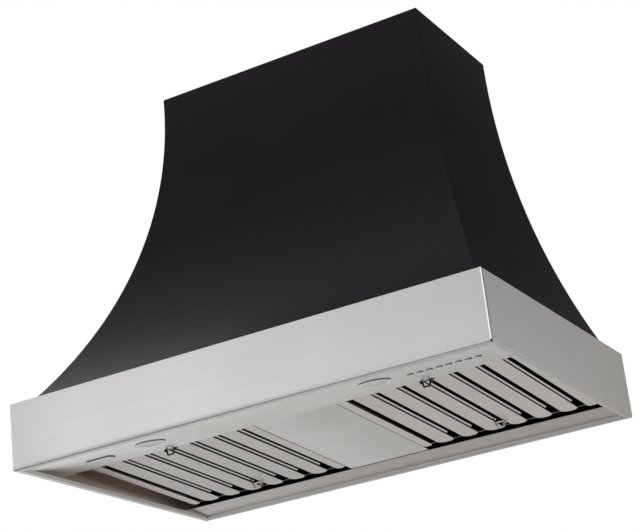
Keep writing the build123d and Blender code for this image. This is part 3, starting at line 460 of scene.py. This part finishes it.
for n, o in NODES.items():
    mat = M[ASSIGN[n]]
    o.data.materials.clear()
    o.data.materials.append(mat)


# ---------------------------------------------------------------- bent edges
def soften(name, width, segments=3, angle=40):
    """Rounds the sharp edges of a sheet-metal node, as bends and deburred edges are."""
    o = NODES[name]
    w = o.modifiers.new("weld", "WELD")
    w.merge_threshold = 0.00001
    d = o.modifiers.new("flat", "DECIMATE")
    d.decimate_type = "DISSOLVE"
    d.angle_limit = math.radians(0.2)
    b = o.modifiers.new("bend", "BEVEL")
    b.width = width
    b.segments = segments
    b.limit_method = "ANGLE"
    b.angle_limit = math.radians(angle)
    b.harden_normals = False
    n = o.modifiers.new("shade", "WEIGHTED_NORMAL")
    n.keep_sharp = False
    return o


for n in ("band_front", "band_side_left", "band_side_right"):
    soften(n, 0.0005)
for n in ("shell_front", "shell_side_left", "shell_side_right", "control_strip", "grease_trough", "spacer_panel"):
    soften(n, 0.0003, 2)

# ------------------------------------------------------------------ the stage
# a pale floor far below, which fades out so that no edge or horizon shows
floor_mesh = bpy.data.meshes.new("floor")
bm = bmesh.new()
bmesh.ops.create_circle(bm, cap_ends=True, cap_tris=False, segments=96, radius=7.0)
bm.to_mesh(floor_mesh)
bm.free()
floor = bpy.data.objects.new("floor", floor_mesh)
floor.location = (0, 0, -5.2)
scene.collection.objects.link(floor)
fs = Shader("floor")
fs.colour(fs.mix(fs.noise(fs.coords((0.6, 0.6, 0.6)), 1.0, 3.0), (0.80, 0.80, 0.795), (0.84, 0.84, 0.835)))
fs.set(Roughness=0.7, Specular_IOR_Level=0.2)
away = fs.node("ShaderNodeVectorMath", operation="LENGTH")
fs.link(fs.coords(), away.inputs[0])
fs.set(Alpha=fs.spread(away.outputs["Value"], 1.0, 0.0, 3.0, 6.8))
floor_mesh.materials.append(fs.mat)

world = bpy.data.worlds.new("studio")
scene.world = world
world.use_nodes = True
wt = world.node_tree
wt.nodes.clear()


def wn(kind, **props):
    n = wt.nodes.new(kind)
    for k, v in props.items():
        setattr(n, k, v)
    return n


def wmath(op, a, b=0.0, c=0.0):
    n = wn("ShaderNodeMath", operation=op)
    for i, v in enumerate((a, b, c)):
        if isinstance(v, (int, float)):
            n.inputs[i].default_value = v
        else:
            wt.links.new(v, n.inputs[i])
    return n.outputs[0]


w_tc = wn("ShaderNodeTexCoord")
w_dir = wn("ShaderNodeVectorMath", operation="NORMALIZE")
wt.links.new(w_tc.outputs["Generated"], w_dir.inputs[0])
w_sep = wn("ShaderNodeSeparateXYZ")
wt.links.new(w_dir.outputs[0], w_sep.inputs[0])


def ramp(value, stops, low=-1.0, high=1.0):
    """value from low to high, through (place, level) stops."""
    m = wn("ShaderNodeMapRange")
    m.inputs["From Min"].default_value = low
    m.inputs["From Max"].default_value = high
    wt.links.new(value, m.inputs["Value"])
    r = wn("ShaderNodeValToRGB")
    wt.links.new(m.outputs[0], r.inputs[0])
    c = r.color_ramp
    c.interpolation = "EASE"
    spots = [((p - low) / (high - low), v) for p, v in stops]
    c.elements[0].position, c.elements[0].color = spots[0][0], (spots[0][1],) * 3 + (1,)
    c.elements[1].position, c.elements[1].color = spots[-1][0], (spots[-1][1],) * 3 + (1,)
    for p, v in spots[1:-1]:
        c.elements.new(p).color = (v, v, v, 1)
    g = wn("ShaderNodeRGBToBW")
    wt.links.new(r.outputs[0], g.inputs[0])
    return g.outputs[0]


def lobe(towards, width, level):
    """A round soft light (or flag, below zero), width degrees from its middle to its edge."""
    v = Vector(towards).normalized()
    d = wn("ShaderNodeVectorMath", operation="DOT_PRODUCT")
    wt.links.new(w_dir.outputs[0], d.inputs[0])
    d.inputs[1].default_value = tuple(v)
    m = wn("ShaderNodeMapRange", interpolation_type="SMOOTHSTEP")
    m.inputs["From Min"].default_value = math.cos(math.radians(width))
    m.inputs["From Max"].default_value = 1.0
    m.inputs["To Max"].default_value = level
    wt.links.new(d.outputs["Value"], m.inputs["Value"])
    return m.outputs[0]


# level by height, then one side brighter than the other, then soft lights
BY_HEIGHT = [(-1, 0.34), (-0.6, 0.39), (-0.33, 0.54), (0, 0.64), (0.27, 0.56), (0.48, 0.11), (0.65, 0.07), (0.8, 0.10), (1, 0.34)]
SIDE = (-0.16, -0.04)
LOBES = [
    ((-0.60, -0.78, 0.18), 60, 0.38),
    ((-0.88, 0.22, 0.40), 32, 0.60),
    ((-0.82, 0.34, 0.46), 24, 1.0),
    ((-0.45, -0.35, 0.82), 34, 0.14),
    ((0.12, 0.80, 0.66), 26, -0.07),
    ((-0.50, 0.08, 0.86), 20, 0.33),
    ((-0.62, 0.44, 0.65), 20, 1.10),
    ((-0.60, 0.62, -0.50), 26, 0.065),
    ((-0.62, 0.78, 0.04), 22, 0.22),
    ((0.80, -0.45, 0.55), 55, 0.80),
]
level = ramp(w_sep.outputs["Z"], BY_HEIGHT)
tilt = wmath("ADD", wmath("MULTIPLY", w_sep.outputs["X"], SIDE[0]), wmath("MULTIPLY", w_sep.outputs["Y"], SIDE[1]))
level = wmath("MULTIPLY", level, wmath("ADD", tilt, 1.0))
for towards, width, strength in LOBES:
    level = wmath("ADD", level, lobe(towards, width, strength))
level = wmath("MAXIMUM", level, 0.02)
w_lit = wn("ShaderNodeBackground")
w_tint = ramp(w_sep.outputs["Z"], [(-1, 0.0), (-0.1, 0.0), (0.3, 1.0), (1, 1.0)])
w_col = wn("ShaderNodeMix", data_type="RGBA")
wt.links.new(w_tint, w_col.inputs["Factor"])
w_col.inputs[6].default_value = (1.0, 0.985, 0.97, 1)
w_col.inputs[7].default_value = (0.995, 1.0, 1.0, 1)
wt.links.new(w_col.outputs[2], w_lit.inputs["Color"])
wt.links.new(level, w_lit.inputs["Strength"])
w_cam = wn("ShaderNodeBackground")
w_cam.inputs["Color"].default_value = (1, 1, 1, 1)
w_cam.inputs["Strength"].default_value = 1.0
w_mix = wn("ShaderNodeMixShader")
w_path = wn("ShaderNodeLightPath")
w_out = wn("ShaderNodeOutputWorld")
wt.links.new(w_path.outputs["Is Camera Ray"], w_mix.inputs[0])
wt.links.new(w_lit.outputs[0], w_mix.inputs[1])
wt.links.new(w_cam.outputs[0], w_mix.inputs[2])
wt.links.new(w_mix.outputs[0], w_out.inputs["Surface"])

# ------------------------------------------------------------------- finish
bpy.context.view_layer.update()
